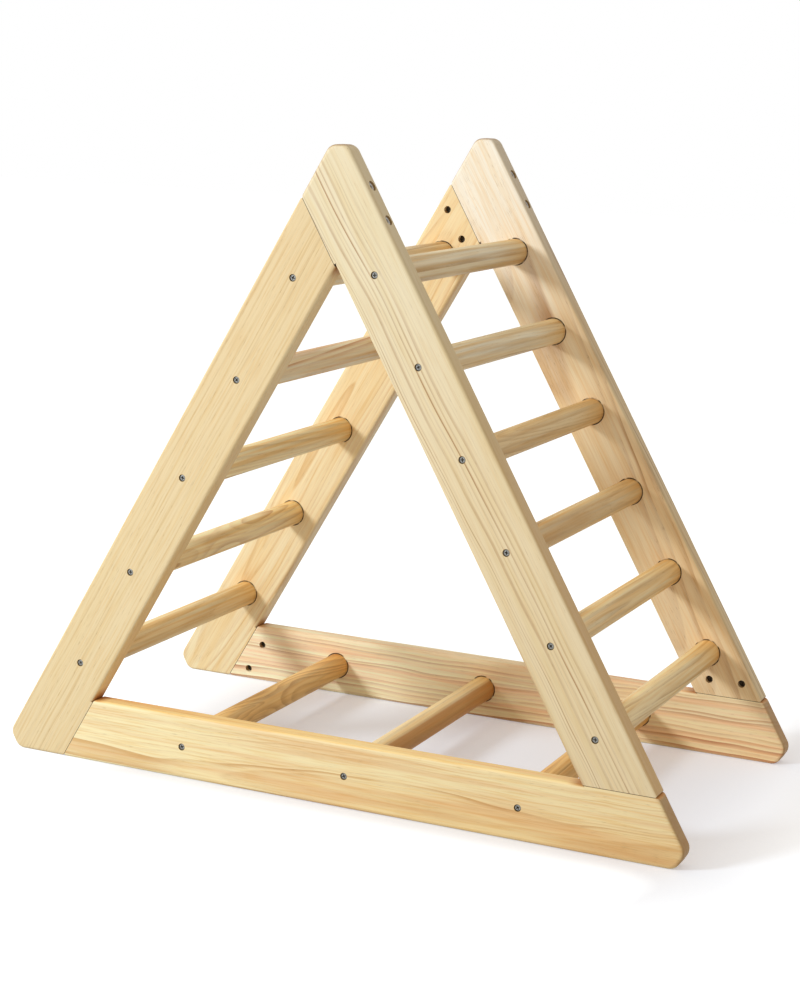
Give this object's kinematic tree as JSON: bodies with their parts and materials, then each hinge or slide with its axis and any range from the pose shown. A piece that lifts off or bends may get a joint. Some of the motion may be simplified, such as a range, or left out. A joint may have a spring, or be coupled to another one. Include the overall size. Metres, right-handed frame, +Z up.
{
  "type": "climbing triangle",
  "caption": "Rigid wooden climbing triangle for small children: two triangular side frames of flat pine rails joined by round rungs on both slopes and the base.",
  "frame": {"origin": "on the floor, at the middle of the base, half-way between the two side frames", "axes": "+X along the base, from the ladder with fewer rungs to the ladder with more; +Y from the front side frame to the back one; +Z up"},
  "size_m": [0.7752, 0.384, 0.6748],
  "materials": {
    "pine_pale": "planed and sanded, clear matt lacquer",
    "pine_warm": "planed and sanded, clear matt lacquer",
    "pine_yellow": "planed and sanded, clear matt lacquer",
    "pine_pink": "planed and sanded, clear matt lacquer",
    "pine_brown": "planed and sanded, clear matt lacquer",
    "pine_rung": "turned and sanded, clear matt lacquer",
    "zinc_steel": "bright zinc plating"
  },
  "bodies": {
    "root": {"front_base_rail": "pine_yellow", "front_right_rail": "pine_pale", "front_left_rail": "pine_warm", "back_base_rail": "pine_pink", "back_right_rail": "pine_brown", "back_left_rail": "pine_warm", "base_rung_1": "pine_rung", "base_rung_2": "pine_rung", "base_rung_3": "pine_rung", "right_rung_1": "pine_rung", "right_rung_2": "pine_rung", "right_rung_3": "pine_rung", "right_rung_4": "pine_rung", "right_rung_5": "pine_rung", "right_rung_6": "pine_rung", "left_rung_1": "pine_rung", "left_rung_2": "pine_rung", "left_rung_3": "pine_rung", "left_rung_4": "pine_rung", "left_rung_5": "pine_rung", "front_base_rung_screws": "zinc_steel", "front_right_rung_screws": "zinc_steel", "front_left_rung_screws": "zinc_steel", "back_base_rung_screws": "zinc_steel", "back_right_rung_screws": "zinc_steel", "back_left_rung_screws": "zinc_steel", "front_right_corner_bolts": "zinc_steel", "front_top_corner_bolts": "zinc_steel", "front_left_corner_bolts": "zinc_steel", "back_right_corner_bolts": "zinc_steel", "back_top_corner_bolts": "zinc_steel", "back_left_corner_bolts": "zinc_steel", "front_right_barrel_nuts": "zinc_steel", "front_top_barrel_nuts": "zinc_steel", "front_left_barrel_nuts": "zinc_steel", "back_right_barrel_nuts": "zinc_steel", "back_top_barrel_nuts": "zinc_steel", "back_left_barrel_nuts": "zinc_steel"}
  },
  "joints": []
}
